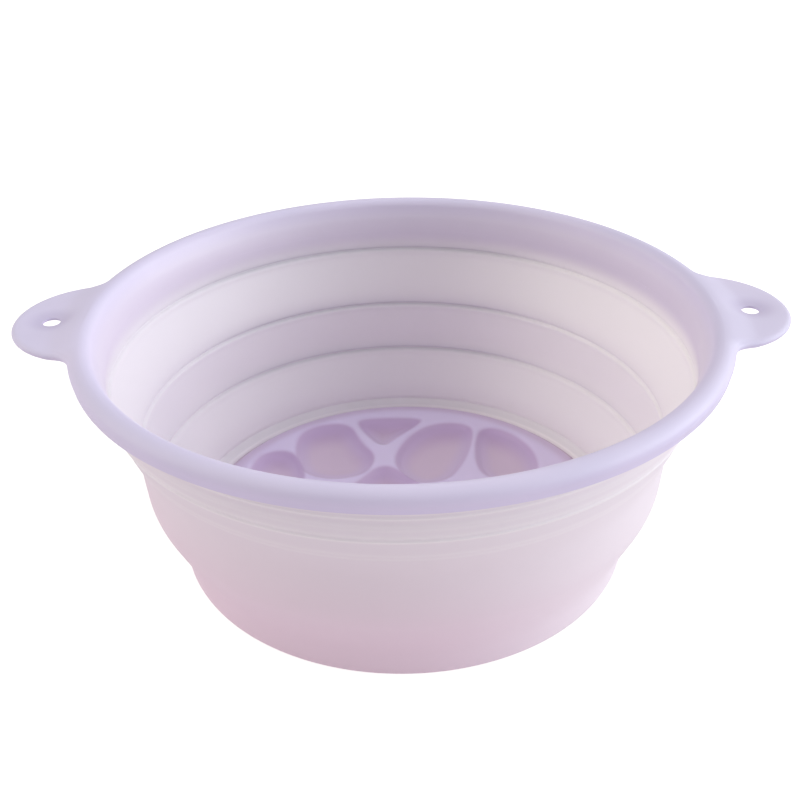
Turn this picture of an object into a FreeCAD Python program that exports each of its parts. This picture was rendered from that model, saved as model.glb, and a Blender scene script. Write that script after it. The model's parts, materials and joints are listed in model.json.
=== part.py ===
import FreeCAD, Part
import math
import os

from FreeCAD import Vector

# Folding foot spa basin, in millimetres. The origin is the middle of the face that the
# basin stands on, +Z is up and the two hanging ears lie along X. A hard rim and a hard
# floor are joined by a soft wall, which folds down in two steps.

# ---- driving dimensions ----
OVERALL_HEIGHT = 155.5
RIM_OUTER_RADIUS = 189.7
RIM_BEAD_RADIUS = 183.0      # radius of the bead's centre line
RIM_PLANE = 149.7            # height of the bead's centre line
RIM_LIP_Z = 144.0            # lower edge of the bead's outer skirt
FLANGE_Z = 135.0             # lower edge of the flange that the wall grips
FLANGE_RADIUS = 171.6        # inside of that edge
FLANGE_THICKNESS = 2.2
FLANGE_BOW = (173.4, 143.0)  # a point on the flange's curved inner face
SKIRT = 2.3                  # thickness of the bead's shell
SKIRT_TAPER = 1.4            # how far the bead's skirt draws in at its foot

EAR_CENTRE_X = 178.0
EAR_RADIUS = 47.8
EAR_THICKNESS = 4.6
EAR_BACK_FILLET = 9.0        # where an ear's outline runs into the rim, behind
EAR_FRONT_FILLET = 26.0      # and in front
EAR_EDGE_ROUND = 1.8
HOLE_X = 204.0
HOLE_RADIUS = 5.0
DIMPLE_RADIUS = 13.0
DIMPLE_DEPTH = 1.4
UNDERCUT_DEPTH = 1.7         # countersink under the hole
UNDERCUT_RADIUS = 8.2

WALL = 2.4                   # thickness of the soft wall's stiff bands
WEB = 1.8                    # thickness of the webs that fold
HINGE_HEIGHT = 2.4           # height of a living hinge
HINGE = 1.1                  # its thickness
WEB_BOW = 1.6                # how far a web bulges outward
FOLD_GAP = 0.3               # left between a web and the body that it does not ride on
HINGE_STEP = 0.2             # how far a hinge's ends stand in from the bands beside it
WALL_TOP = (178.4, 146.7)    # outer top edge of the wall, inside the bead
WALL_TOP_WIDTH = 0.6
UPPER_BAND_BOW = (175.3, 135.0)    # a point on the upper band's curved outer face
MIDDLE_RING_BOW = 0.5        # how far the middle ring's outer face dips inward
LOWER_BAND_BOW = 0.4
GRIP_GAP = 0.1               # between the wall and the flange that it grips

# Outside radius and height of the soft wall at each living hinge, from the top down.
CREASE_1 = (172.8, 120.6)
CREASE_2 = (159.9, 86.0)
CREASE_3 = (157.1, 52.9)
CREASE_4 = (142.3, 22.6)

FLOOR_TOP = 9.7
FLOOR_THICKNESS = 2.5
FLOOR_RADIUS = 133.0
LIP_INNER_RADIUS = 127.5
LIP_HEIGHT = 2.0
LIP_OUTER_HEIGHT = 2.6       # where the lip meets the wall
LIP_LEAN = 0.3
LIP_SLOPE = 1.6              # width of the lip's sloping inner edge
LIP_EDGE = 0.8               # height of that edge
FOOT_OUTER_RADIUS = 137.6
FOOT_INNER_RADIUS = 126.5
FOOT_ROUND = 1.6             # radius of the rounding under the foot
FOOT_FLARE = 0.6             # how much wider the foot ring is at its top

RELIEF_RADIUS = 127.0
RELIEF_HEIGHT = 6.6
RELIEF_EDGE = 5.0            # width of the relief's sloping rim
CELL_FLOOR = 1.0             # what is left under a hollow of the relief
RIB_DEPTH = 4.5
RIB_WIDTH = 2.0
RIB_RING_RADII = (45.0, 88.0)
RADIAL_RIBS = 12
RIB_END_GAP = 0.5            # between a straight rib and the foot ring

# Hollows of the massage relief, as the corners of a loop that the outline is rounded
# inside. +Y is the far side of the basin.
LEFT_SOLE = [(-74, 84), (-60, 100), (-34, 102), (-24, 76), (-12, 58), (-22, 34), (-52, 30), (-70, 44)]
RIGHT_SOLE = [(2, 80), (20, 100), (48, 99), (50, 80), (40, 44), (28, 26), (6, 24), (-8, 50)]
ARCH = [(-34, 104), (-24, 108), (6, 108), (16, 104), (-6, 80), (-14, 70), (-24, 82)]
LEFT_SIDE = [(-104, 44), (-98, 64), (-80, 68), (-68, 52), (-66, 24), (-84, 8), (-108, 14)]
RIGHT_SIDE = [(50, 70), (58, 94), (80, 88), (98, 62), (96, 30), (66, 24), (50, 36)]
MIDDLE = [(-14, 50), (6, 32), (22, 4), (2, -26), (-34, -18), (-42, 12), (-30, 28)]
NEAR_RIGHT = [(34, 16), (62, 12), (104, 12), (106, -40), (60, -40), (32, -16)]
NEAR_LEFT = [(-50, 8), (-78, -6), (-108, -2), (-104, -46), (-62, -50), (-46, -24)]
HEEL_LEFT = [(-94, -62), (-54, -58), (-20, -44), (-10, -66), (-26, -112), (-70, -96)]
HEEL_RIGHT = [(2, -42), (30, -26), (56, -46), (60, -84), (30, -112), (-4, -102)]
HEEL_SIDE = [(70, -50), (102, -50), (86, -82), (70, -90)]
HOLLOWS = (LEFT_SOLE, RIGHT_SOLE, ARCH, LEFT_SIDE, RIGHT_SIDE,
           MIDDLE, NEAR_RIGHT, NEAR_LEFT, HEEL_LEFT, HEEL_RIGHT, HEEL_SIDE)

FOOT_TOP = (FOOT_OUTER_RADIUS + FOOT_FLARE, FLOOR_TOP)      # outside, where the foot meets the wall

Z_AXIS = Vector(0, 0, 1)
ORIGIN = Vector(0, 0, 0)


# ---- helpers ----
def turn(edges):
    """Solid swept round the Z axis by a closed section, given as edges in the XZ plane."""
    face = Part.Face(Part.Wire(edges))
    return solid(face.revolve(ORIGIN, Z_AXIS, 360))


def solid(shape):
    """The one solid of a shape, with its faces outward."""
    body = Part.makeSolid(shape.Shells[0]) if not shape.Solids else shape.Solids[0]
    if body.Volume < 0:
        body.reverse()
    return body


def at(point):
    return Vector(point[0], 0, point[1])


def line(start, end):
    return Part.LineSegment(at(start), at(end)).toShape()


def arc(start, middle, end):
    return Part.Arc(at(start), at(middle), at(end)).toShape()


def polygon(points):
    """Edges of a closed section with straight sides."""
    return [line(a, b) for a, b in zip(points, points[1:] + points[:1])]


def below(crease, drop):
    return (crease[0], crease[1] - drop)


def between(top, bottom, outward, upward=0.0):
    """Point halfway between two others, moved outward and upward."""
    return ((top[0] + bottom[0]) / 2 + outward, (top[1] + bottom[1]) / 2 + upward)


def band(outer_top, outer_middle, outer_bottom, thickness):
    """Ring between two horizontal ends, with a bowed section of even thickness."""
    inner = [(r - thickness, z) for r, z in (outer_top, outer_middle, outer_bottom)]
    return turn([
        arc(outer_top, outer_middle, outer_bottom),
        line(outer_bottom, inner[2]),
        arc(inner[2], inner[1], inner[0]),
        line(inner[0], outer_top),
    ])


def cylinder(radius, height, x, y, z):
    return Part.makeCylinder(radius, height, Vector(x, y, z), Z_AXIS)


# ---- rim ----
INSIDE = (176.1, 149.5)                              # where the bead meets the flange
OUTSIDE = (RIM_OUTER_RADIUS, RIM_PLANE)
SKIRT_MIDDLE = (189.4, 147.3)
SKIRT_BOTTOM = (RIM_OUTER_RADIUS - SKIRT_TAPER, RIM_LIP_Z)


def crown(height, end):
    """Arc from the bead's crown, where it is level, down to a point beside it."""
    across = end[0] - RIM_BEAD_RADIUS
    drop = height - end[1]
    radius = (across ** 2 + drop ** 2) / (2 * drop)
    half = math.asin(across / radius) / 2
    middle = (RIM_BEAD_RADIUS + radius * math.sin(half), height - radius + radius * math.cos(half))
    return arc((RIM_BEAD_RADIUS, height), middle, end)


def bead_outline():
    """Outer face of the bead, from its inner edge over the top to the foot of its skirt."""
    return [
        crown(OVERALL_HEIGHT, INSIDE),
        crown(OVERALL_HEIGHT, OUTSIDE),
        arc(OUTSIDE, SKIRT_MIDDLE, SKIRT_BOTTOM),
    ]


def rim_frame():
    """Hollow bead with a flange inside it, open underneath."""
    flange_bottom = (FLANGE_RADIUS, FLANGE_Z)
    flange_back = (FLANGE_RADIUS + FLANGE_THICKNESS, FLANGE_Z)
    skirt_inside = (SKIRT_BOTTOM[0] - SKIRT, RIM_LIP_Z)
    channel_outer = (RIM_OUTER_RADIUS - SKIRT, RIM_PLANE)
    channel_inner = (INSIDE[0] + SKIRT, RIM_PLANE)
    ceiling = OVERALL_HEIGHT - SKIRT
    return turn(Part.__sortEdges__(bead_outline() + [
        line(SKIRT_BOTTOM, skirt_inside),
        line(skirt_inside, channel_outer),
        crown(ceiling, channel_outer),
        crown(ceiling, channel_inner),
        line(channel_inner, flange_back),
        line(flange_back, flange_bottom),
        arc(flange_bottom, FLANGE_BOW, INSIDE),
    ]))


def rim_core():
    """Everything inside the bead's outer face, to trim an ear against."""
    return turn(Part.__sortEdges__(bead_outline() + [
        line(SKIRT_BOTTOM, (0, RIM_LIP_Z)),
        line((0, RIM_LIP_Z), (0, INSIDE[1])),
        line((0, INSIDE[1]), INSIDE),
    ]))


def ear(side):
    """Round lobe beside the rim, with a dimpled hole to hang the basin by."""
    low = RIM_PLANE - EAR_THICKNESS / 2
    lobe = cylinder(EAR_RADIUS, EAR_THICKNESS, side * EAR_CENTRE_X, 0, low)
    disc = cylinder(RIM_OUTER_RADIUS - SKIRT_TAPER, EAR_THICKNESS, 0, 0, low)
    plan = lobe.fuse(disc).removeSplitter()
    plan = plan.makeFillet(EAR_BACK_FILLET, corners(plan, side, 1))
    plan = plan.makeFillet(EAR_FRONT_FILLET, corners(plan, side, -1))
    outline = [edge for edge in plan.Edges if edge.BoundBox.ZLength < 0.01]
    plan = plan.makeFillet(EAR_EDGE_ROUND, outline)
    plan = plan.cut(rim_core()).cut(cylinder(RIM_BEAD_RADIUS, EAR_THICKNESS, 0, 0, low))
    lobe = max(plan.Solids, key=lambda piece: piece.Volume)
    lobe = lobe.cut(cylinder(HOLE_RADIUS, EAR_THICKNESS, side * HOLE_X, 0, low))
    ball = (DIMPLE_RADIUS ** 2 + DIMPLE_DEPTH ** 2) / (2 * DIMPLE_DEPTH)
    ball_z = low + EAR_THICKNESS + ball - DIMPLE_DEPTH
    lobe = lobe.cut(Part.makeSphere(ball, Vector(side * HOLE_X, 0, ball_z)))
    return lobe.cut(Part.makeCone(UNDERCUT_RADIUS, HOLE_RADIUS, UNDERCUT_DEPTH,
                                  Vector(side * HOLE_X, 0, low), Z_AXIS))


def corners(plan, side, behind):
    """The upright edge where one side of a lobe meets the disc."""
    return [edge for edge in plan.Edges
            if is_upright(edge)
            and edge.Vertexes[0].X * side > EAR_RADIUS
            and edge.Vertexes[0].Y * behind > EAR_RADIUS / 2]


def is_upright(edge):
    """True for a straight edge from the lobe's under face to its top face."""
    rise = abs(edge.Vertexes[-1].Point.z - edge.Vertexes[0].Point.z)
    return abs(rise - EAR_THICKNESS) < 0.01 and abs(edge.Length - EAR_THICKNESS) < 0.01


# ---- soft wall ----
def upper_wall_band():
    """Grips the rim's flange and runs down to the first fold."""
    inner_bottom = (CREASE_1[0] - WALL, CREASE_1[1])
    inner_top = (FLANGE_RADIUS, FLANGE_Z - GRIP_GAP)
    grip_bottom = (FLANGE_RADIUS + FLANGE_THICKNESS + GRIP_GAP, FLANGE_Z - GRIP_GAP)
    grip_top = (WALL_TOP[0] - WALL_TOP_WIDTH, WALL_TOP[1])
    return turn([
        arc(WALL_TOP, UPPER_BAND_BOW, CREASE_1),
        line(CREASE_1, inner_bottom),
        line(inner_bottom, inner_top),
        line(inner_top, grip_bottom),
        line(grip_bottom, grip_top),
        line(grip_top, WALL_TOP),
    ])


def hinge(crease):
    """Living hinge: a thin ring, with a groove that narrows to its middle on both faces."""
    radius, top = crease
    middle = top - HINGE_HEIGHT / 2
    bottom = top - HINGE_HEIGHT
    groove = (WALL - HINGE) / 2
    return turn(polygon([
        (radius - HINGE_STEP, top),
        (radius - groove, middle),
        (radius - HINGE_STEP, bottom),
        (radius + HINGE_STEP - WALL, bottom),
        (radius + groove - WALL, middle),
        (radius + HINGE_STEP - WALL, top),
    ]))


def web(top_crease, bottom_crease):
    """Sloping ring that turns inside out when its fold closes."""
    top = below(top_crease, HINGE_HEIGHT + FOLD_GAP)
    middle = between(top, bottom_crease, WEB_BOW, WEB_BOW / 2)
    return band(top, middle, bottom_crease, WEB)


def middle_wall_ring():
    top = below(CREASE_2, HINGE_HEIGHT)
    return band(top, between(top, CREASE_3, -MIDDLE_RING_BOW), CREASE_3, WALL)


def lower_wall_band():
    top = below(CREASE_4, HINGE_HEIGHT)
    return band(top, between(top, FOOT_TOP, -LOWER_BAND_BOW), FOOT_TOP, WALL)


def foot_ring():
    """Thick ring at the bottom of the wall, which the basin stands on."""
    below_floor = FLOOR_TOP - FLOOR_THICKNESS
    corner = FOOT_ROUND * (1 - math.sqrt(0.5))
    round_start = (FOOT_OUTER_RADIUS, FOOT_ROUND)
    round_middle = (FOOT_OUTER_RADIUS - corner, corner)
    round_end = (FOOT_OUTER_RADIUS - FOOT_ROUND, 0.0)
    return turn([
        line(FOOT_TOP, round_start),
        arc(round_start, round_middle, round_end),
        line(round_end, (FOOT_INNER_RADIUS, 0.0)),
        line((FOOT_INNER_RADIUS, 0.0), (FOOT_INNER_RADIUS, below_floor)),
        line((FOOT_INNER_RADIUS, below_floor), (FLOOR_RADIUS, below_floor)),
        line((FLOOR_RADIUS, below_floor), (FLOOR_RADIUS, FLOOR_TOP)),
        line((FLOOR_RADIUS, FLOOR_TOP), FOOT_TOP),
    ])


def plate_clamp_lip():
    """Lip of the soft moulding that laps over the floor's edge."""
    wall_inside = FOOT_TOP[0] - WALL
    return turn(polygon([
        (LIP_INNER_RADIUS, FLOOR_TOP),
        (wall_inside, FLOOR_TOP),
        (wall_inside + LIP_LEAN, FLOOR_TOP + LIP_OUTER_HEIGHT),
        (LIP_INNER_RADIUS + LIP_SLOPE, FLOOR_TOP + LIP_HEIGHT),
        (LIP_INNER_RADIUS, FLOOR_TOP + LIP_EDGE),
    ]))


# ---- floor ----
def base_plate():
    return cylinder(FLOOR_RADIUS, FLOOR_THICKNESS, 0, 0, FLOOR_TOP - FLOOR_THICKNESS)


def hollow(corners, low, height):
    """Prism with a smooth outline that touches the middle of each side of the loop."""
    outline = Part.BSplineCurve()
    poles = [Vector(x, y, low) for x, y in corners]
    outline.buildFromPoles(poles, True, 2)
    face = Part.Face(Part.Wire([outline.toShape()]))
    return face.extrude(Vector(0, 0, height))


def massage_relief():
    """Low disc with rounded hollows, which leaves soft ridges to rub the soles on."""
    disc = Part.makeCone(RELIEF_RADIUS, RELIEF_RADIUS - RELIEF_EDGE, RELIEF_HEIGHT,
                         Vector(0, 0, FLOOR_TOP), Z_AXIS)
    for corners in HOLLOWS:
        disc = disc.cut(hollow(corners, FLOOR_TOP + CELL_FLOOR, RELIEF_HEIGHT))
    return max(disc.Solids, key=lambda piece: piece.Volume)


def rib_rings():
    """Round ribs under the floor, as separate solids."""
    under = FLOOR_TOP - FLOOR_THICKNESS
    rings = []
    for radius in RIB_RING_RADII:
        rings.append(turn(polygon([
            (radius, under - RIB_DEPTH),
            (radius + RIB_WIDTH, under - RIB_DEPTH),
            (radius + RIB_WIDTH, under),
            (radius, under),
        ])))
    return Part.makeCompound(rings)


def radial_ribs():
    """Straight ribs between the outer round rib and the edge of the floor."""
    under = FLOOR_TOP - FLOOR_THICKNESS
    start = RIB_RING_RADII[1] + RIB_WIDTH
    ribs = []
    for index in range(RADIAL_RIBS):
        rib = Part.makeBox(FOOT_INNER_RADIUS - RIB_END_GAP - start, RIB_WIDTH, RIB_DEPTH,
                           Vector(start, -RIB_WIDTH / 2, under - RIB_DEPTH))
        rib.rotate(ORIGIN, Z_AXIS, 360 / RADIAL_RIBS * (index + 0.5))
        ribs.append(rib)
    return Part.makeCompound(ribs)


def parts():
    return {
        "rim_frame": rim_frame(),
        "left_ear": ear(-1),
        "right_ear": ear(1),
        "upper_wall_band": upper_wall_band(),
        "upper_fold_top_hinge": hinge(CREASE_1),
        "upper_fold_web": web(CREASE_1, CREASE_2),
        "upper_fold_bottom_hinge": hinge(CREASE_2),
        "middle_wall_ring": middle_wall_ring(),
        "lower_fold_top_hinge": hinge(CREASE_3),
        "lower_fold_web": web(CREASE_3, CREASE_4),
        "lower_fold_bottom_hinge": hinge(CREASE_4),
        "lower_wall_band": lower_wall_band(),
        "plate_clamp_lip": plate_clamp_lip(),
        "foot_ring": foot_ring(),
        "base_plate": base_plate(),
        "massage_relief": massage_relief(),
        "floor_rib_rings": rib_rings(),
        "floor_radial_ribs": radial_ribs(),
    }


def main():
    os.makedirs("parts", exist_ok=True)
    for name, shape in parts().items():
        box = shape.optimalBoundingBox()
        print(f"{name:26s} valid={shape.isValid()} solids={len(shape.Solids)} volume={shape.Volume:.0f} "
              f"z={box.ZMin:.2f}..{box.ZMax:.2f} x={box.XMin:.2f}..{box.XMax:.2f}")
        shape.exportStep(f"parts/{name}.step")


main()
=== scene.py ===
import json
import math

import bpy
import numpy as np
from mathutils import Matrix, Vector


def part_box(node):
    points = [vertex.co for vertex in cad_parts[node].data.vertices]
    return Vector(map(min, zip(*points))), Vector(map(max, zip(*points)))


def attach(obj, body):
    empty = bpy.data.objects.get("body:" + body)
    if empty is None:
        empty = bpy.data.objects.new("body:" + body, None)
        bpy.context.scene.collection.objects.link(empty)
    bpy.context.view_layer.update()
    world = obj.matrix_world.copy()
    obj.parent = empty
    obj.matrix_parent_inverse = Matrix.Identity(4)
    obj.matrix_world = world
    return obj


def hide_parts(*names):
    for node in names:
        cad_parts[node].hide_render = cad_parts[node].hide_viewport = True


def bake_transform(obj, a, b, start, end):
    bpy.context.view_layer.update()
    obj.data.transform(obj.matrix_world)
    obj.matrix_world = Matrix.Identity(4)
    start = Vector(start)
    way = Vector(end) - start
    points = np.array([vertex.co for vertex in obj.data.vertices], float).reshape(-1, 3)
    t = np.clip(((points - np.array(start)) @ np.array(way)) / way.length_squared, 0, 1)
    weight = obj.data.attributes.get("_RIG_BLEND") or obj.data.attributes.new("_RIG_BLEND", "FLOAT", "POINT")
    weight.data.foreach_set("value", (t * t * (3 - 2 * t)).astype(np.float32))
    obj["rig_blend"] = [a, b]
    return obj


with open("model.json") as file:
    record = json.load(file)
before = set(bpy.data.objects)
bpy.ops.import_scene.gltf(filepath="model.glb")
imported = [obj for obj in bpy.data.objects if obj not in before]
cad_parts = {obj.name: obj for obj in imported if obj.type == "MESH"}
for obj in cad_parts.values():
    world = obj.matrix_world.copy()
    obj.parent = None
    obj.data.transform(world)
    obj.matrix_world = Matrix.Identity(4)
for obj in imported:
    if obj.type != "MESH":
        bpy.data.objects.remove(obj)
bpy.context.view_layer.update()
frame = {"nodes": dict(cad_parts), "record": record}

# A folding foot spa basin: a lilac rim with two hanging ears, a milky soft wall that folds
# in two steps, and a lilac floor with massage ridges. Lengths are in millimetres until a
# mesh is made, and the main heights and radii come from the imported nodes' boxes.
MM = 0.001


def low_of(node):
    """Low corner of a CAD node's box."""
    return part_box(node)[0] / MM


def high_of(node):
    """High corner of a CAD node's box."""
    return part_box(node)[1] / MM


RIM_RADIUS = high_of("rim_frame").x            # outside of the bead
RIM_TOP = high_of("rim_frame").z
FLANGE_BOTTOM = low_of("rim_frame").z
EAR_TIP = high_of("right_ear").x
EAR_TOP = high_of("right_ear").z
EAR_BOTTOM = low_of("right_ear").z
CREASES = [(high_of(node).z + low_of(node).z) / 2 for node in (
    "upper_fold_top_hinge", "upper_fold_bottom_hinge",
    "lower_fold_top_hinge", "lower_fold_bottom_hinge")]    # heights of the hinges
PLATE_TOP = high_of("base_plate").z
PLATE_BOTTOM = low_of("base_plate").z
PLATE_RADIUS = high_of("base_plate").x
FOOT_RADIUS = high_of("foot_ring").x
RELIEF_TOP = high_of("massage_relief").z
RELIEF_RADIUS = high_of("massage_relief").x
HOLE = next(mount for mount in frame["record"]["mounts"]
            if mount["name"] == "right_hang_hole")         # the left one mirrors it
HOLE_X = HOLE["pos_m"][0] / MM
HOLE_RADIUS = HOLE["dims"]["r_mm"]

BEAD_HALF_WIDTH = 6.7
BEAD_RADIUS = RIM_RADIUS - BEAD_HALF_WIDTH     # of the bead's crown
BEAD_HALF_HEIGHT = 5.8
BEAD_Z = RIM_TOP - BEAD_HALF_HEIGHT
SKIRT_BOTTOM = BEAD_Z - 5.6
FLANGE_INSIDE = 171.6                          # radius of the flange's inner face
SEGMENTS = 288                                 # columns of the wall's meshes


# ---- shapes ----
def smoothstep(t):
    """0 below 0, 1 above 1 and an even S between."""
    t = np.clip(t, 0.0, 1.0)
    return t * t * (3 - 2 * t)


def make_object(name, points, faces):
    """Smooth-shaded mesh object from points in millimetres."""
    mesh = bpy.data.meshes.new(name)
    mesh.from_pydata([tuple(float(c) * MM for c in p) for p in points], [], faces)
    mesh.polygons.foreach_set("use_smooth", [True] * len(mesh.polygons))
    mesh.set_sharp_from_angle(angle=math.radians(50))
    mesh.update()
    piece = bpy.data.objects.new(name, mesh)
    bpy.context.scene.collection.objects.link(piece)
    return piece


def lathe(name, section):
    """Closed ring swept round Z by a closed section of (radius, height), given clockwise
    seen with the axis on the left, so that faces point outward."""
    count = len(section)
    points = []
    for step in range(SEGMENTS):
        turn = 2 * math.pi * step / SEGMENTS
        points += [(r * math.cos(turn), r * math.sin(turn), z) for r, z in section]
    faces = []
    for step in range(SEGMENTS):
        here, there = step * count, (step + 1) % SEGMENTS * count
        for k in range(count):
            after = (k + 1) % count
            faces.append((here + k, here + after, there + after, there + k))
    return make_object(name, points, faces)


def rounded(corners, steps=5):
    """Open outline through corners of (radius, height, rounding), with each rounding as an
    arc-like curve that starts and ends that far from its corner."""
    outline = []
    for k, (r, z, reach) in enumerate(corners):
        corner = Vector((r, z))
        if reach == 0 or k in (0, len(corners) - 1):
            outline.append((r, z))
            continue
        before = Vector(corners[k - 1][:2]) - corner
        after = Vector(corners[k + 1][:2]) - corner
        start = corner + before.normalized() * min(reach, before.length * 0.49)
        end = corner + after.normalized() * min(reach, after.length * 0.49)
        for i in range(steps + 1):
            t = i / steps
            point = start * (1 - t) ** 2 + corner * 2 * t * (1 - t) + end * t ** 2
            outline.append((point.x, point.y))
    return outline


# ---- soft wall ----
WALL = 2.4                                     # thickness
SEAM = (CREASES[1] + CREASES[2]) / 2           # the two wall pieces meet on the middle ring
LIP_TOP = PLATE_TOP + 5.9                      # where the lip round the floor leaves the wall
LIP_EDGE = PLATE_RADIUS - 1.6                  # its inner edge
# Heights of the three fold lines that show inside.
NOTCHES = [high_of("upper_fold_top_hinge").z + 1.0, low_of("upper_fold_bottom_hinge").z,
           low_of("lower_fold_top_hinge").z - 1.0]
# Outer face of the wall as (height, radius), from the foot up; its corners are rounded.
OUTER_LINE = [(0, FOOT_RADIUS - 0.4), (21.5, 141.7), (53.5, 156.8), (87.0, 159.6),
              (119.5, 172.6), (136.0, 175.2), (148.0, 178.6)]
# Fine rings on the outer face, as (height, how far each stands out), and a small step.
MOULD_RINGS = [(137.0, 0.15), (134.6, 0.12), (131.5, 0.3), (126.5, 0.1), (124.0, 0.1),
               (118.6, 0.15), (115.6, 0.3), (104.0, 0.12), (101.0, 0.12)]
STEP_Z = 116.6
STEP_DEPTH = 0.5
CORNER_REACH = 6.5                             # half the height over which a corner is eased
FLARE_DEPTH, FLARE_HEIGHT = 0.75, 5.0          # of the inner face above a fold line
NOTCH_DEPTH, NOTCH_HALF_HEIGHT = 0.75, 0.8
LEDGE_SIZE, LEDGE_HALF_HEIGHT = 0.3, 1.3
FOOT_INSIDE = 126.5                            # radius
FOOT_EDGE = 3.0                                # height at which the wall turns into the foot
GAP = 0.05                                     # between the lip and the floor's edge


def plain_radius(z):
    """Radius of the wall's outer line, with every corner of it eased over a few mm."""
    heights, radii = zip(*OUTER_LINE)
    reach = np.linspace(-CORNER_REACH, CORNER_REACH, 27)
    return np.interp(np.asarray(z)[:, None] + reach, heights, radii).mean(axis=1)


def outer_radius(z):
    """Radius of the wall's outer face, with its rings and its step."""
    rings = sum(size * np.exp(-((z - height) / 0.9) ** 2) for height, size in MOULD_RINGS)
    return plain_radius(z) + rings + STEP_DEPTH * (0.5 - smoothstep((z - STEP_Z) / 1.8 + 0.5))


def inner_radius(z):
    """Radius of the wall's inner face. Above each visible fold line it flares out to a notch,
    and below the notch stands a small rounded ledge."""
    radius = plain_radius(z) - WALL
    for height in NOTCHES:
        above = z - height
        flare = FLARE_DEPTH * np.exp(-above / FLARE_HEIGHT) * smoothstep((above + 0.9) / 1.8)
        notch = NOTCH_DEPTH * np.exp(-((above - 0.1) / NOTCH_HALF_HEIGHT) ** 2)
        ledge = LEDGE_SIZE * np.exp(-((above + 2.3) / LEDGE_HALF_HEIGHT) ** 2)
        radius = radius + flare + notch - ledge
    flange_step = plain_radius(np.array([FLANGE_BOTTOM]))[0] - WALL - FLANGE_INSIDE
    return radius - flange_step * smoothstep((z - FLANGE_BOTTOM + 9.0) / 9.0)


def levels(low, high, details):
    """Heights from low to high, close together near the details' heights."""
    found = [low]
    while found[-1] < high:
        near = min(abs(found[-1] - height) for height in details)
        found.append(found[-1] + float(np.interp(near, (1.6, 7.0), (0.24, 1.6))))
    return low + (np.array(found) - low) * (high - low) / (found[-1] - low)


def mark_wall(piece):
    """Notes each vertex's unfolded place and its marks, so that a folded wall keeps them:
    inside, painted shade in the fold lines and on the lip, the lilac under the rim and painted
    light on the right side; outside, the pinker tone near the foot, partly painted shade and
    faded by painted light on the right, and painted highlights on the fine rings."""
    attributes = piece.data.attributes
    place = np.empty(len(piece.data.vertices) * 3, np.float32)
    piece.data.vertices.foreach_get("co", place)
    x, y, z = place.reshape(-1, 3).T / MM
    radius = np.hypot(x, y)
    rightward = x / radius
    inside = radius < plain_radius(z) - WALL / 2
    # Painted shade along the fold lines inside, over the notches' own shade.
    folds = sum(0.55 * np.exp(-((z - height - 0.3) / 1.5) ** 2)
                + 0.22 * np.exp(-np.abs(z - height - 3.0) / 4.0) for height in NOTCHES)
    # The painted fold shade fades towards the sides, sooner on the right where light comes through the wall.
    folds = folds * (1 - 0.75 * smoothstep((np.abs(rightward + 0.13) - 0.42) / 0.45))
    # Painted shade on the lip's flat band.
    on_lip = smoothstep((LIP_TOP - z) / 1.5) * smoothstep((radius - LIP_EDGE - 1.4) / 1.2)
    folds = folds + 0.22 * on_lip * (z > PLATE_TOP)
    under_rim = smoothstep((z - NOTCHES[0]) / (FLANGE_BOTTOM - NOTCHES[0]))
    # Pinker low on the outer face, partly the wall's tone and partly painted shade towards the foot; faded
    # on the right as painted light.
    low_pink_and_shade = (1 - smoothstep((z - 20.0) / 110.0)) * (1 - 0.85 * smoothstep(rightward))
    # Painted highlights along the fine rings outside.
    ring_highlight = sum(2.2 * size * np.exp(-((z - height) / 1.3) ** 2) for height, size in MOULD_RINGS)
    attributes.new("rest_place", "FLOAT_VECTOR", "POINT").data.foreach_set("vector", place)
    shades = {"fold_shade": folds * inside, "rim_tint": under_rim * inside,
              "low_pink_and_shade": low_pink_and_shade * ~inside, "ring_highlight": ring_highlight * ~inside,
              # Painted light on the inner face's right side.
              "painted_light_right": smoothstep((rightward - 0.05) / 0.75) * inside}
    for name, values in shades.items():
        attribute = attributes.new(name, "FLOAT", "POINT")
        attribute.data.foreach_set("value", values.astype(np.float32))
    return piece


def wall_faces(outer, inner):
    """The wall's outer face down through some heights, and its inner face up through others."""
    return list(zip(outer_radius(outer), outer))[::-1], list(zip(inner_radius(inner), inner))


def wall_upper():
    """From the rim's flange down through the upper fold to the seam."""
    inside_top, outside_top = FLANGE_BOTTOM - 0.02, BEAD_Z - 3.2
    down, up = wall_faces(levels(SEAM, outside_top, (*dict(MOULD_RINGS), STEP_Z)),
                          levels(SEAM, inside_top, NOTCHES))
    grip = [(FLANGE_INSIDE + 2.4, inside_top), (177.8, outside_top)]
    return mark_wall(lathe("soft_wall_upper", down + up + grip))


def wall_lower():
    """From the seam down through the lower fold to the foot, with the lip over the floor's
    edge."""
    down, up = wall_faces(levels(FOOT_EDGE, SEAM, CREASES), levels(LIP_TOP, SEAM, NOTCHES))
    foot_outside, wall_inside = down[-1][0], up[0][0]
    foot = rounded([
        (foot_outside, FOOT_EDGE, 0), (FOOT_RADIUS - 0.6, 0.0, 2.2), (FOOT_INSIDE, 0.0, 1.5),
        (FOOT_INSIDE, PLATE_BOTTOM - GAP, 0.6), (PLATE_RADIUS + GAP, PLATE_BOTTOM - GAP, 0.3),
        (PLATE_RADIUS + GAP, PLATE_TOP + GAP, 0.3), (LIP_EDGE, PLATE_TOP + GAP, 0.1),
        (LIP_EDGE + 0.9, PLATE_TOP + 1.3, 0.9), (wall_inside - 3.0, PLATE_TOP + 3.4, 2.2),
        (wall_inside - 0.5, LIP_TOP - 1.5, 1.4), (wall_inside + 0.25, LIP_TOP - 0.7, 0.6),
        (wall_inside, LIP_TOP, 0)])
    return mark_wall(lathe("soft_wall_lower", down + foot[1:-1] + up))


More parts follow.
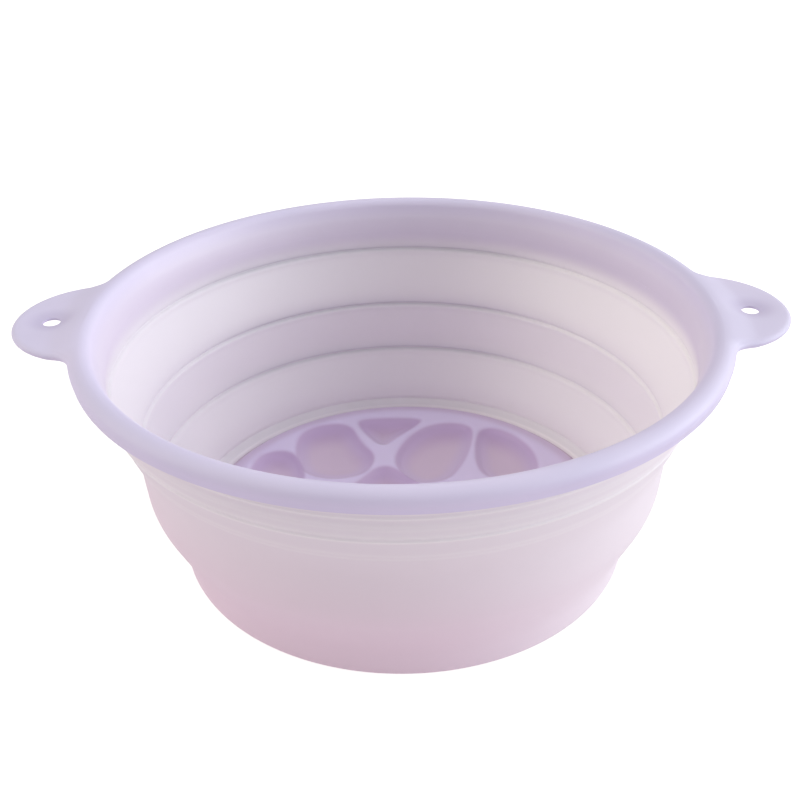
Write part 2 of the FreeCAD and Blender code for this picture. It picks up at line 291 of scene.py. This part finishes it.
# ---- rim with its ears ----
EAR_CENTRE_X = 178.0
EAR_RADIUS = EAR_TIP - EAR_CENTRE_X
BACK_FILLET = 12.0                             # where an ear's outline runs into the rim
FRONT_FILLET = 30.0
HALF_COLUMNS = 52                              # columns of the mesh across half an ear
RIM_COLUMNS = 110                              # columns between the ears, on each side
TOP_ROWS = 14                                  # rows from the bead to an ear's edge
NOSE_ROWS = 9                                  # rows round its edge
NOSE = 3.2                                     # depth of the rounded edge
HOLE_BLOCK = 9                                 # half the columns that the hole's patch takes
HOLE_ROWS = (2, 12)                            # and its rows
HOLE_LIP = 0.6                                 # rounding of the hole's edges
EAR_SLOPE = 19.0                               # how far from the bead's crown an ear still falls
EAR_ROOT = 12.0                                # how far out the rim has wholly become an ear
DIMPLE_DEPTH, DIMPLE_REACH = 2.3, 11.5         # hollow round the hole on top
SINK_DEPTH, SINK_REACH = 1.3, 4.6              # countersink under it
CHANNEL_THICKNESS = 2.6                        # of the plastic over the channel under the bead
FLANGE_OUTSIDE = 173.9
FLANGE_SHOULDER = 142.5                        # height at which the flange leans in to the bead
CROWN_ANGLES = range(90, 46, -6)               # rows of the bead's top, in degrees
FACE_START, FACE_SWEEP = 46, 66                # the bead's outer face, in degrees


def swept(outline, turn):
    """Points of a (radius, height) outline at an angle round Z."""
    return [(r * math.cos(turn), r * math.sin(turn), z) for r, z in outline]


def bead_point(degrees):
    """Point on the bead's outer face; 90 is its crown and 0 its widest line."""
    turn = math.radians(degrees)
    return (BEAD_RADIUS + BEAD_HALF_WIDTH * math.cos(turn),
            BEAD_Z + BEAD_HALF_HEIGHT * math.sin(turn))


def hidden_outline():
    """The rest of the rim's section: skirt, channel, flange and the bead's inner quarter."""
    channel_top = RIM_TOP - CHANNEL_THICKNESS
    skirt = rounded([
        (RIM_RADIUS - 0.15, BEAD_Z - 1.9, 0), (RIM_RADIUS - 1.0, SKIRT_BOTTOM, 0.9),
        (RIM_RADIUS - 3.3, SKIRT_BOTTOM, 0.9), (RIM_RADIUS - 2.4, BEAD_Z, 3.0),
        (RIM_RADIUS - 4.2, channel_top, 3.0), (BEAD_RADIUS - 2.2, channel_top, 3.0),
        (BEAD_RADIUS - 4.6, BEAD_Z, 3.0), (FLANGE_OUTSIDE, FLANGE_BOTTOM, 0.5),
        (FLANGE_INSIDE, FLANGE_BOTTOM, 0.1), (FLANGE_OUTSIDE - 1.0, FLANGE_SHOULDER, 5.0)])[1:-1]
    inner = [(BEAD_RADIUS - 10.1, FLANGE_SHOULDER), (BEAD_RADIUS - 8.9, 145.4),
             (BEAD_RADIUS - 7.5, 148.0)]
    return skirt + inner + [bead_point(degrees) for degrees in range(165, 90, -9)]


def ear_outline(share, fillet):
    """Half an ear's outline, from the rim at share 0 to the tip at 1: a point, its outward
    normal and the angle at which this half leaves the rim."""
    fillet_x = ((RIM_RADIUS + fillet) ** 2 - (EAR_RADIUS + fillet) ** 2
                + EAR_CENTRE_X ** 2) / (2 * EAR_CENTRE_X)
    fillet_y = math.sqrt((RIM_RADIUS + fillet) ** 2 - fillet_x ** 2)
    lobe_end = math.atan2(fillet_y, fillet_x - EAR_CENTRE_X)
    root = math.atan2(fillet_y, fillet_x)
    fillet_length = fillet * (lobe_end - root)
    along = share * (fillet_length + EAR_RADIUS * lobe_end)
    if along < fillet_length:
        turn = root + math.pi + along / fillet
        normal = Vector((-math.cos(turn), -math.sin(turn)))
        return Vector((fillet_x, fillet_y)) - normal * fillet, normal, root
    turn = lobe_end - (along - fillet_length) / EAR_RADIUS
    normal = Vector((math.cos(turn), math.sin(turn)))
    return Vector((EAR_CENTRE_X, 0)) + normal * EAR_RADIUS, normal, root


def ear_top(x, y):
    """Height of an ear's upper face: it rises to the bead's crown and dips to the hole."""
    fallen = smoothstep((math.hypot(x, y) - BEAD_RADIUS) / EAR_SLOPE)
    dip = DIMPLE_DEPTH * math.exp(-(math.hypot(x - HOLE_X, y) / DIMPLE_REACH) ** 2)
    return EAR_TOP + (RIM_TOP - EAR_TOP) * (1 - fallen) - dip


def ear_under(x, y):
    """Height of its under face, with a countersink round the hole."""
    from_hole = math.hypot(x - HOLE_X, y) - HOLE_RADIUS
    return EAR_BOTTOM + SINK_DEPTH * (1 - smoothstep(from_hole / SINK_REACH))


def plain_outer():
    """The bead's outer face in as many points as the ear's section has."""
    rows = 2 * TOP_ROWS + NOSE_ROWS
    return [bead_point(FACE_START - FACE_SWEEP * k / (rows - 1)) for k in range(rows)]


def ear_section(share, fillet):
    """One closed section across the back half of the right ear. Its outer points lead from
    the bead over the ear's edge and back underneath, and near the rim they turn gradually
    into the plain rim's."""
    edge, normal, root = ear_outline(share, fillet)
    turn = root * (1 - share)
    radial = Vector((math.cos(turn), math.sin(turn)))
    plain = plain_outer()
    start, finish = plain[0], plain[-1]
    weight = float(smoothstep((edge - radial * RIM_RADIUS).length / EAR_ROOT))
    column = []
    for k, (r, z) in enumerate(plain):
        if k < TOP_ROWS:
            t = k / (TOP_ROWS - 1)
            spot = (radial * start[0]).lerp(edge - normal * NOSE, t)
            height = ear_top(spot.x, spot.y)
        elif k < TOP_ROWS + NOSE_ROWS:
            lean = math.pi * (k - TOP_ROWS + 1) / (NOSE_ROWS + 1)
            spot = edge - normal * NOSE * (1 - math.sin(lean))
            under, over = ear_under(spot.x, spot.y), ear_top(spot.x, spot.y)
            height = (over + under) / 2 + (over - under) / 2 * math.cos(lean)
        else:
            t = (k - TOP_ROWS - NOSE_ROWS) / (TOP_ROWS - 1)
            spot = (edge - normal * NOSE).lerp(radial * finish[0], t)
            at_rim = smoothstep(t * 5 - 4)
            height = ear_under(spot.x, spot.y) * (1 - at_rim) + finish[1] * at_rim
        spot = (radial * r).lerp(spot, weight)
        column.append((spot.x, spot.y, z + (height - z) * weight))
    return crown_rows(turn, weight) + column + swept(hidden_outline(), turn)


def crown_rows(turn, weight=0.0):
    """The bead's top beside an ear, flattened into the ear by a weight."""
    rows = []
    for degrees in CROWN_ANGLES:
        r, z = bead_point(degrees)
        x, y = r * math.cos(turn), r * math.sin(turn)
        rows.append((x, y, z + (ear_top(x, y) - z) * weight))
    return rows


def right_ear_sections():
    """Sections across the right ear, from its root in front to its root behind. The front
    half is a back half with the other fillet, mirrored."""
    front = [ear_section(k / HALF_COLUMNS, FRONT_FILLET) for k in range(HALF_COLUMNS)]
    back = [ear_section(k / HALF_COLUMNS, BACK_FILLET) for k in range(HALF_COLUMNS, -1, -1)]
    return [[(x, -y, z) for x, y, z in section] for section in front] + back


def plain_sections(first, last):
    """Sections of the rim strictly between two angles, both outside the ears."""
    sections = []
    for k in range(1, RIM_COLUMNS):
        turn = first + (last - first) * k / RIM_COLUMNS
        sections.append(crown_rows(turn) + swept(plain_outer() + hidden_outline(), turn))
    return sections


def rim():
    """Bead, skirt and flange with both ears, as one closed mesh with two holes."""
    right = right_ear_sections()
    left = [[(-x, y, z) for x, y, z in section] for section in reversed(right)]
    back_root, front_root = (ear_outline(0, fillet)[2] for fillet in (BACK_FILLET, FRONT_FILLET))
    behind = plain_sections(back_root, math.pi - back_root)
    in_front = plain_sections(math.pi + front_root, 2 * math.pi - front_root)
    columns = right + behind + left + in_front
    blocks = [(1, HALF_COLUMNS), (-1, len(right) + len(behind) + HALF_COLUMNS)]
    rows = len(right[0])
    points = [point for column in columns for point in column]
    first_top = len(CROWN_ANGLES)
    last_under = first_top + 2 * TOP_ROWS + NOSE_ROWS - 1
    top_rows = (first_top + HOLE_ROWS[0], first_top + HOLE_ROWS[1])
    under_rows = (last_under - HOLE_ROWS[1], last_under - HOLE_ROWS[0])
    faces = []
    for c in range(len(columns)):
        in_block = any(middle - HOLE_BLOCK <= c < middle + HOLE_BLOCK for _, middle in blocks)
        here, there = c * rows, (c + 1) % len(columns) * rows
        for k in range(rows):
            if in_block and any(start <= k < end for start, end in (top_rows, under_rows)):
                continue
            after = (k + 1) % rows
            faces.append((here + k, here + after, there + after, there + k))
    for side, middle in blocks:
        top = patch_loop(middle, top_rows, rows)
        under = patch_loop(middle, (under_rows[1], under_rows[0]), rows)
        hole_patch(points, faces, top, under, side)
    return make_object("rim_with_ears", points, faces)


def patch_loop(middle, block_rows, rows):
    """Vertices round a hole's block: along one row, down one column, and back."""
    first, last = middle - HOLE_BLOCK, middle + HOLE_BLOCK
    near, far = block_rows
    step = 1 if far > near else -1
    loop = [c * rows + near for c in range(first, last)]
    loop += [last * rows + k for k in range(near, far, step)]
    loop += [c * rows + far for c in range(last, first, -1)]
    loop += [first * rows + k for k in range(far, near, -step)]
    return loop


def hole_patch(points, faces, top, under, side):
    """Rings from the block's edge in to the hole, down its wall and out again underneath."""
    rings = [top]
    for share in (0.2, 0.4, 0.6, 0.78, 0.92, 1.0):
        rings.append(add_ring(points, top, side, share, HOLE_LIP, ear_top, 0.0))
    for face, way, leans in ((ear_top, -1, (25, 50, 75, 90)), (ear_under, 1, (90, 60, 30))):
        for lean in leans:
            lip = HOLE_LIP * (1 - math.sin(math.radians(lean)))
            shift = way * HOLE_LIP * (1 - math.cos(math.radians(lean)))
            rings.append(add_ring(points, top, side, 1.0, lip, face, shift))
    for share in (1.0, 0.8, 0.5, 0.25):
        rings.append(add_ring(points, under, side, share, HOLE_LIP, ear_under, 0.0))
    rings.append(under)
    count = len(top)
    for outer, inner in zip(rings, rings[1:]):
        for k in range(count):
            after = (k + 1) % count
            faces.append((outer[k], inner[k], inner[after], outer[after]))


def add_ring(points, loop, side, share, lip, face, shift):
    """Ring of new points on a face of the ear, raised by a shift, that share of the way from
    the block's edge to the hole's lip."""
    centre = Vector((HOLE_X, 0))
    ring = []
    for index in loop:
        x, y, _ = points[index]
        out = Vector((side * x, y)) - centre
        distance = out.length * (1 - share) + (HOLE_RADIUS + lip) * share
        spot = centre + out.normalized() * distance
        ring.append(len(points))
        points.append((side * spot.x, spot.y, face(spot.x, spot.y) + shift))
    return ring


# ---- floor ----
# Hollows of the massage relief, as the corners of a loop that the outline is rounded
# inside, in millimetres. +Y is the far side.
HOLLOWS = [
    [(-76, 84), (-62, 100), (-38, 102), (-30, 76), (-18, 58), (-26, 34), (-54, 30), (-72, 44)],
    [(2, 80), (20, 100), (48, 99), (50, 80), (40, 44), (28, 26), (6, 24), (-8, 50)],
    [(-34, 104), (-24, 108), (6, 108), (16, 104), (-6, 80), (-14, 70), (-24, 82)],
    [(-104, 44), (-98, 64), (-80, 68), (-68, 52), (-66, 24), (-84, 8), (-108, 14)],
    [(50, 70), (56, 94), (75, 88), (91, 62), (91, 30), (66, 24), (50, 36)],
    [(-14, 50), (6, 32), (22, 4), (2, -26), (-34, -18), (-42, 12), (-30, 28)],
    [(34, 16), (62, 12), (104, 12), (106, -40), (60, -40), (32, -16)],
    [(-50, 8), (-78, -6), (-108, -2), (-104, -46), (-62, -50), (-46, -24)],
    [(-94, -62), (-54, -58), (-20, -44), (-10, -66), (-26, -112), (-70, -96)],
    [(2, -42), (30, -26), (56, -46), (60, -84), (30, -112), (-4, -102)],
    [(70, -50), (102, -50), (86, -82), (70, -90)],
]
FLOOR_COLUMNS = 480
FLOOR_ROWS = 104


def loop_points(corners, steps=14):
    """Smooth closed outline that touches the middle of each side of a loop of corners."""
    outline = []
    for k, corner in enumerate(corners):
        before, here = Vector(corners[k - 1]), Vector(corner)
        after = Vector(corners[(k + 1) % len(corners)])
        for i in range(steps):
            t = i / steps
            outline.append(before * 0.5 * (1 - t) ** 2 + here * (0.5 + t - t * t)
                           + after * 0.5 * t * t)
    return np.array([tuple(p) for p in outline])


def depth_inside(x, y, outline):
    """Distance from each point in to a closed outline, negative outside it."""
    start, end = outline, np.roll(outline, -1, axis=0)
    nearest = np.full(x.shape, 1e9)
    inside = np.zeros(x.shape, bool)
    for (ax, ay), (bx, by) in zip(start, end):
        dx, dy = bx - ax, by - ay
        t = np.clip(((x - ax) * dx + (y - ay) * dy) / (dx * dx + dy * dy), 0, 1)
        nearest = np.minimum(nearest, np.hypot(x - ax - t * dx, y - ay - t * dy))
        crosses = (ay > y) != (by > y)
        with np.errstate(divide="ignore", invalid="ignore"):
            inside ^= crosses & (x < ax + (y - ay) / (by - ay) * dx)
    return np.where(inside, nearest, -nearest)


def relief(x, y):
    """Height of the floor's upper face, and how near each point of a hollow lies to the
    hollow's far edge, from 0 to 1, where painted shade goes."""
    ridge = RELIEF_TOP - 0.2
    deepest = ridge - PLATE_TOP - 0.8
    depth, far_edge_shade = np.zeros(x.shape), np.zeros(x.shape)
    for corners in HOLLOWS:
        outline = loop_points(corners)
        inside = depth_inside(x, y, outline)
        ahead = depth_inside(x, y + 17.0, outline)
        near = smoothstep((inside + 2.5) / 4.0) * (1 - smoothstep((ahead + 12.0) / 24.0))
        far_edge_shade = np.maximum(far_edge_shade, near)
        dish = 0.55 * smoothstep((inside + 3.0) / 7.5) + 0.45 * smoothstep(inside / 17.0)
        depth = np.maximum(depth, dish)
    radius = np.hypot(x, y)
    edge = (0.25 * smoothstep((radius - RELIEF_RADIUS + 14.0) / 13.0)
            + 0.75 * smoothstep((radius - RELIEF_RADIUS + 2.0) / 5.5))
    return (ridge - deepest * depth) * (1 - edge) + PLATE_TOP * edge, far_edge_shade


def floor():
    """Floor plate with its massage relief; its edge sits in the soft lip."""
    turns = 2 * np.pi * np.arange(FLOOR_COLUMNS) / FLOOR_COLUMNS
    radii = np.concatenate([np.linspace(1.2, PLATE_RADIUS - 2, FLOOR_ROWS), [PLATE_RADIUS]])
    r, turn = np.meshgrid(radii, turns, indexing="ij")
    x, y = r * np.cos(turn), r * np.sin(turn)
    z, far_edge_shade = relief(x, y)
    points = list(zip(x.ravel(), y.ravel(), z.ravel()))
    faces = []
    for row in range(len(radii) - 1):
        for k in range(FLOOR_COLUMNS):
            here = row * FLOOR_COLUMNS + k
            beside = row * FLOOR_COLUMNS + (k + 1) % FLOOR_COLUMNS
            faces.append((here, here + FLOOR_COLUMNS, beside + FLOOR_COLUMNS, beside))
    middle_top = len(points)
    points.append((0, 0, float(z[0].mean())))
    faces += [(middle_top, k, (k + 1) % FLOOR_COLUMNS) for k in range(FLOOR_COLUMNS)]
    last = (len(radii) - 1) * FLOOR_COLUMNS
    under = len(points)
    points += [(px, py, PLATE_BOTTOM) for px, py, _ in points[last:last + FLOOR_COLUMNS]]
    middle_under = len(points)
    points.append((0, 0, PLATE_BOTTOM))
    for k in range(FLOOR_COLUMNS):
        after = (k + 1) % FLOOR_COLUMNS
        faces.append((last + k, under + k, under + after, last + after))
        faces.append((middle_under, under + after, under + k))
    piece = make_object("massage_floor", points, faces)
    # Notes where the hollows' far edges get painted shade.
    shade = np.zeros(len(points), np.float32)
    shade[:far_edge_shade.size] = far_edge_shade.ravel()
    piece.data.attributes.new("far_edge_shade", "FLOAT", "POINT").data.foreach_set("value", shade)
    return piece


# ---- materials ----
# Colours. A surface drifts between the two of a pair.
RIM_LILAC = (0.685, 0.63, 0.85), (0.725, 0.66, 0.88)
HOLE_PAINTED_SHADE = (0.55, 0.48, 0.70)              # painted shade round the hanging holes
UNDER_RIM = (0.725, 0.65, 0.79)                # where the wall meets the rim inside
MILKY = (0.825, 0.77, 0.845), (0.845, 0.785, 0.85)
LOW_PINK_AND_SHADE = (0.84, 0.685, 0.795)                   # low on the wall's outer face: a pinker tone, partly painted shade towards the foot
PAINTED_LIGHT_RIGHT = (0.97, 0.92, 0.945)                # painted light on the wall's inner face on the right, where light comes through the wall
RING_HIGHLIGHT = (0.94, 0.91, 0.94)                    # painted highlights on the fine rings outside
FOLD_SHADE_GREY = (0.44, 0.42, 0.50)                 # painted shade in the fold lines and on the lip
# The relief's hollows are darker than its ridges, partly the plastic's tone and partly painted shade.
HOLLOW = (0.67, 0.53, 0.695), (0.695, 0.55, 0.71)
HOLLOW_FAR_SHADE = (0.56, 0.40, 0.63)                # painted shade towards a hollow's far edge
SLOPE = (0.66, 0.53, 0.75)                     # from a hollow up to a ridge
# Painted shade on a slope towards a hollow's far edge.
SLOPE_FAR_SHADE = (0.58, 0.425, 0.68)
RIDGE = (0.76, 0.66, 0.92)
GRAIN_DEPTH = 0.0003                           # metres


def new_material(name):
    """Material, its nodes and links, and its shader."""
    material = bpy.data.materials.new(name)
    material.use_nodes = True
    nodes = material.node_tree.nodes
    return material, nodes, material.node_tree.links, nodes["Principled BSDF"]


def object_place(nodes):
    """Place on the surface, in metres."""
    return nodes.new("ShaderNodeTexCoord").outputs["Object"]


def noted(nodes, name, output="Fac"):
    """What was noted on the vertices under a name."""
    attribute = nodes.new("ShaderNodeAttribute")
    attribute.attribute_name = name
    return attribute.outputs[output]


def spread(nodes, links, value, start, end, low=0.0, high=1.0):
    """A value between start and end, brought smoothly to between low and high."""
    node = nodes.new("ShaderNodeMapRange")
    node.interpolation_type = "SMOOTHSTEP"
    limits = {"From Min": start, "From Max": end, "To Min": low, "To Max": high}
    for name, number in limits.items():
        node.inputs[name].default_value = number
    links.new(value, node.inputs["Value"])
    return node.outputs["Result"]


def calculated(nodes, links, operation, value, number):
    """Result of a Math node on a value and a number."""
    node = nodes.new("ShaderNodeMath")
    node.operation = operation
    node.inputs[1].default_value = number
    links.new(value, node.inputs[0])
    return node.outputs["Value"]


def vector_calculated(nodes, links, operation, vector, other=None, output="Value"):
    """Result of a Vector Math node on a vector and a fixed one."""
    node = nodes.new("ShaderNodeVectorMath")
    node.operation = operation
    if other:
        node.inputs[1].default_value = other
    links.new(vector, node.inputs[0])
    return node.outputs[output]


def blended(nodes, links, share, first, second):
    """Colour between two, each a colour or another node's output."""
    node = nodes.new("ShaderNodeMix")
    node.data_type = "RGBA"
    links.new(share, node.inputs["Factor"])
    for name, colour in (("A", first), ("B", second)):
        socket = [i for i in node.inputs if i.name == name and i.type == "RGBA"][0]
        if isinstance(colour, tuple):
            socket.default_value = (*colour, 1)
        else:
            links.new(colour, socket)
    return [o for o in node.outputs if o.type == "RGBA"][0]


def noise(nodes, links, place, scale, detail=2.0):
    """Soft noise with about so many waves in a metre."""
    node = nodes.new("ShaderNodeTexNoise")
    node.inputs["Scale"].default_value = scale
    node.inputs["Detail"].default_value = detail
    links.new(place, node.inputs["Vector"])
    return node.outputs["Fac"]


def drifting(nodes, links, place, scale, colours):
    """Colour that drifts softly between two."""
    share = spread(nodes, links, noise(nodes, links, place, scale), 0.35, 0.65)
    return blended(nodes, links, share, *colours)


def moulded_surface(nodes, links, place, shader, gloss_scale, gloss, grain_scale, grain):
    """Roughness that varies softly between two values, and a fine grain."""
    varied = spread(nodes, links, noise(nodes, links, place, gloss_scale), 0.3, 0.7, *gloss)
    links.new(varied, shader.inputs["Roughness"])
    bump = nodes.new("ShaderNodeBump")
    bump.inputs["Strength"].default_value = grain
    bump.inputs["Distance"].default_value = GRAIN_DEPTH
    links.new(noise(nodes, links, place, grain_scale, 4.0), bump.inputs["Height"])
    links.new(bump.outputs["Normal"], shader.inputs["Normal"])


def rim_plastic():
    """Glossy lilac with painted shade round the hanging holes, that turns to the wall's colour
    on the flange inside the rim."""
    material, nodes, links, shader = new_material("rim_plastic")
    place = object_place(nodes)
    lilac = drifting(nodes, links, place, 9.0, RIM_LILAC)
    either_side = vector_calculated(nodes, links, "ABSOLUTE", place, output="Vector")
    from_hole = vector_calculated(nodes, links, "DISTANCE", either_side,
                                  (HOLE_X * MM, 0, EAR_TOP * MM))
    # Painted shade in each hole's dimple.
    painted_hole_shade = spread(nodes, links, from_hole, 17.0 * MM, 6.0 * MM, 0.0, 0.6)
    shaded_lilac = blended(nodes, links, painted_hole_shade, lilac, HOLE_PAINTED_SHADE)
    flat = vector_calculated(nodes, links, "MULTIPLY", place, (1, 1, 0), "Vector")
    radius = vector_calculated(nodes, links, "LENGTH", flat)
    inward = spread(nodes, links, radius, (FLANGE_INSIDE + 9.0) * MM, FLANGE_INSIDE * MM)
    links.new(blended(nodes, links, inward, shaded_lilac, UNDER_RIM), shader.inputs["Base Color"])
    moulded_surface(nodes, links, place, shader, 30.0, (0.34, 0.44), 900.0, 0.04)
    return material


def wall_rubber():
    """Milky with a faint bloom, and with the colours, painted shade and painted light that
    mark_wall() noted.
    """
    material, nodes, links, shader = new_material("wall_rubber")
    place = noted(nodes, "rest_place", "Vector")
    colour = drifting(nodes, links, place, 5.0, MILKY)
    for name, shade in (("low_pink_and_shade", LOW_PINK_AND_SHADE), ("painted_light_right", PAINTED_LIGHT_RIGHT), ("ring_highlight", RING_HIGHLIGHT),
                        ("rim_tint", UNDER_RIM), ("fold_shade", FOLD_SHADE_GREY)):
        colour = blended(nodes, links, noted(nodes, name), colour, shade)
    links.new(colour, shader.inputs["Base Color"])
    moulded_surface(nodes, links, place, shader, 22.0, (0.40, 0.52), 700.0, 0.05)
    shader.inputs["Sheen Weight"].default_value = 0.12
    shader.inputs["Sheen Roughness"].default_value = 0.5
    shader.inputs["Sheen Tint"].default_value = (1.0, 0.93, 0.98, 1)
    return material


def floor_plastic():
    """Satin lilac, paler along the ridges of the relief than in its hollows, partly the
    plastic's tone and partly painted shade, with more painted shade at the far edges of its
    hollows."""
    material, nodes, links, shader = new_material("floor_plastic")
    place = object_place(nodes)
    parts = nodes.new("ShaderNodeSeparateXYZ")
    links.new(place, parts.inputs["Vector"])
    height = parts.outputs["Z"]
    middle = (PLATE_TOP + RELIEF_TOP) / 2 * MM
    # Darker in the hollows and paler on the ridges by height: partly the plastic's tone, partly painted
    # shade.
    on_slope = spread(nodes, links, height, (PLATE_TOP + 1.0) * MM, middle)
    on_ridge = spread(nodes, links, height, middle + 1.5 * MM, RELIEF_TOP * MM)
    far_edge_shade = noted(nodes, "far_edge_shade")
    shallow = drifting(nodes, links, place, 12.0, HOLLOW)
    hollow = blended(nodes, links, far_edge_shade, shallow, HOLLOW_FAR_SHADE)
    slope = blended(nodes, links, far_edge_shade, SLOPE, SLOPE_FAR_SHADE)
    sloping = blended(nodes, links, on_slope, hollow, slope)
    links.new(blended(nodes, links, on_ridge, sloping, RIDGE), shader.inputs["Base Color"])
    moulded_surface(nodes, links, place, shader, 28.0, (0.29, 0.38), 800.0, 0.05)
    return material


# ---- stage ----
def studio_floor():
    """Wide pale floor just under the basin. It glows a little, more so to the camera, so that
    it runs into the white surround."""
    mesh = bpy.data.meshes.new("studio_floor")
    half = 12.0                                # metres
    mesh.from_pydata([(-half, -half, 0), (half, -half, 0), (half, half, 0), (-half, half, 0)],
                     [], [(0, 1, 2, 3)])
    piece = bpy.data.objects.new("studio_floor", mesh)
    piece.location.z = -0.0002                 # clear of the foot's under face
    bpy.context.scene.collection.objects.link(piece)
    material, nodes, links, shader = new_material("studio_floor")
    shader.inputs["Base Color"].default_value = (0.55, 0.55, 0.54, 1)
    shader.inputs["Roughness"].default_value = 0.9
    shader.inputs["Specular IOR Level"].default_value = 0.1
    seen = nodes.new("ShaderNodeLightPath").outputs["Is Camera Ray"]
    glow = nodes.new("ShaderNodeEmission")
    tint = blended(nodes, links, seen, (1.0, 0.80, 0.95), (1.0, 1.0, 0.97))
    links.new(tint, glow.inputs["Color"])
    links.new(spread(nodes, links, seen, 0.0, 1.0, 0.33, 0.75), glow.inputs["Strength"])
    lit = nodes.new("ShaderNodeAddShader")
    links.new(shader.outputs["BSDF"], lit.inputs[0])
    links.new(glow.outputs["Emission"], lit.inputs[1])
    links.new(lit.outputs["Shader"], nodes["Material Output"].inputs["Surface"])
    mesh.materials.append(material)


# Soft lights all round, as the direction each comes from, its strength, its colour and how
# narrow it is.
SOFT_LIGHTS = [
    ((0.94, 0.0, 0.34), 1.92, (0.94, 1.0, 1.0), 3.0),
    ((0.97, -0.07, 0.22), 2.10, (0.94, 0.98, 1.0), 10.0),
    ((0.72, 0.60, 0.34), 0.72, (1.0, 0.97, 0.90), 3.0),
    ((-0.85, 0.0, 0.53), 1.80, (1.0, 0.97, 0.91), 3.0),
    ((-0.72, 0.60, 0.34), 0.24, (1.0, 1.0, 1.0), 3.0),
]


def studio_light():
    """White surround with a few broad lights that fade out softly from their middle."""
    world = bpy.data.worlds.new("studio")
    bpy.context.scene.world = world
    world.use_nodes = True
    nodes, links = world.node_tree.nodes, world.node_tree.links
    backdrop = nodes["Background"]
    backdrop.inputs["Color"].default_value = (1.0, 1.0, 0.97, 1)
    backdrop.inputs["Strength"].default_value = 1.03
    direction = nodes.new("ShaderNodeTexCoord").outputs["Generated"]
    total = None
    for towards, strength, colour, narrowness in SOFT_LIGHTS:
        facing = vector_calculated(nodes, links, "DOT_PRODUCT", direction, towards)
        front = calculated(nodes, links, "MAXIMUM", facing, 0.0)
        falloff = calculated(nodes, links, "POWER", front, narrowness)
        light = nodes.new("ShaderNodeBackground")
        light.inputs["Color"].default_value = (*colour, 1)
        links.new(calculated(nodes, links, "MULTIPLY", falloff, strength),
                  light.inputs["Strength"])
        if total is None:
            total = light.outputs["Background"]
            continue
        added = nodes.new("ShaderNodeAddShader")
        links.new(total, added.inputs[0])
        links.new(light.outputs["Background"], added.inputs[1])
        total = added.outputs["Shader"]
    mix = nodes.new("ShaderNodeMixShader")
    links.new(nodes.new("ShaderNodeLightPath").outputs["Is Camera Ray"], mix.inputs["Fac"])
    links.new(total, mix.inputs[1])
    links.new(backdrop.outputs["Background"], mix.inputs[2])
    links.new(mix.outputs["Shader"], nodes["World Output"].inputs["Surface"])


def camera():
    """Stands in front, above the rim, and looks down a little past the rim's middle, slightly
    rolled. Angles are in radians."""
    away = 3.6 * BEAD_RADIUS * MM
    rise = 0.4537                              # of the camera above the rim's middle
    tilt, pan, roll = rise + 0.074, 0.002, 0.0185
    rim_middle = Vector((0, 0, BEAD_Z * MM))
    data = bpy.data.cameras.new("camera")
    data.sensor_width = 36.0
    data.lens = 50.6
    view = bpy.data.objects.new("camera", data)
    view.location = rim_middle + away * Vector((0, -math.cos(rise), math.sin(rise)))
    forward = Vector((-math.sin(pan), math.cos(pan) * math.cos(tilt), -math.sin(tilt)))
    right = forward.cross(Vector((0, 0, 1))).normalized()
    up = right.cross(forward)
    turned_right = right * math.cos(roll) - up * math.sin(roll)
    turned_up = up * math.cos(roll) + right * math.sin(roll)
    turned = Matrix((turned_right, turned_up, -forward)).transposed()
    view.rotation_mode = "QUATERNION"
    view.rotation_quaternion = turned.to_quaternion()
    bpy.context.scene.collection.objects.link(view)
    bpy.context.scene.camera = view


def finish_piece(piece, material):
    """Gives a piece its one material."""
    piece.data.materials.clear()
    piece.data.materials.append(material)


def main():
    camera()
    studio_floor()
    studio_light()
    bpy.context.scene.view_settings.view_transform = "Standard"
    rim_finish, wall_finish, floor_finish = rim_plastic(), wall_rubber(), floor_plastic()

    rim_piece = rim()
    finish_piece(rim_piece, rim_finish)
    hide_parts("rim_frame", "left_ear", "right_ear")
    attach(rim_piece, "rim")

    upper = wall_upper()
    finish_piece(upper, wall_finish)
    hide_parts("upper_wall_band", "upper_fold_top_hinge", "upper_fold_web",
                "upper_fold_bottom_hinge", "middle_wall_ring")
    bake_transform(upper, "middle_ring", "rim",
             start=(0, 0, high_of("upper_fold_bottom_hinge").z * MM),
             end=(0, 0, low_of("upper_fold_top_hinge").z * MM))

    lower = wall_lower()
    finish_piece(lower, wall_finish)
    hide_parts("lower_fold_top_hinge", "lower_fold_web", "lower_fold_bottom_hinge",
                "lower_wall_band", "plate_clamp_lip", "foot_ring")
    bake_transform(lower, "base", "middle_ring",
             start=(0, 0, high_of("lower_fold_bottom_hinge").z * MM),
             end=(0, 0, low_of("lower_fold_top_hinge").z * MM))

    floor_piece = floor()
    finish_piece(floor_piece, floor_finish)
    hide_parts("base_plate", "massage_relief")
    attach(floor_piece, "base")

    for node in ("floor_rib_rings", "floor_radial_ribs"):
        finish_piece(frame["nodes"][node], floor_finish)


main()
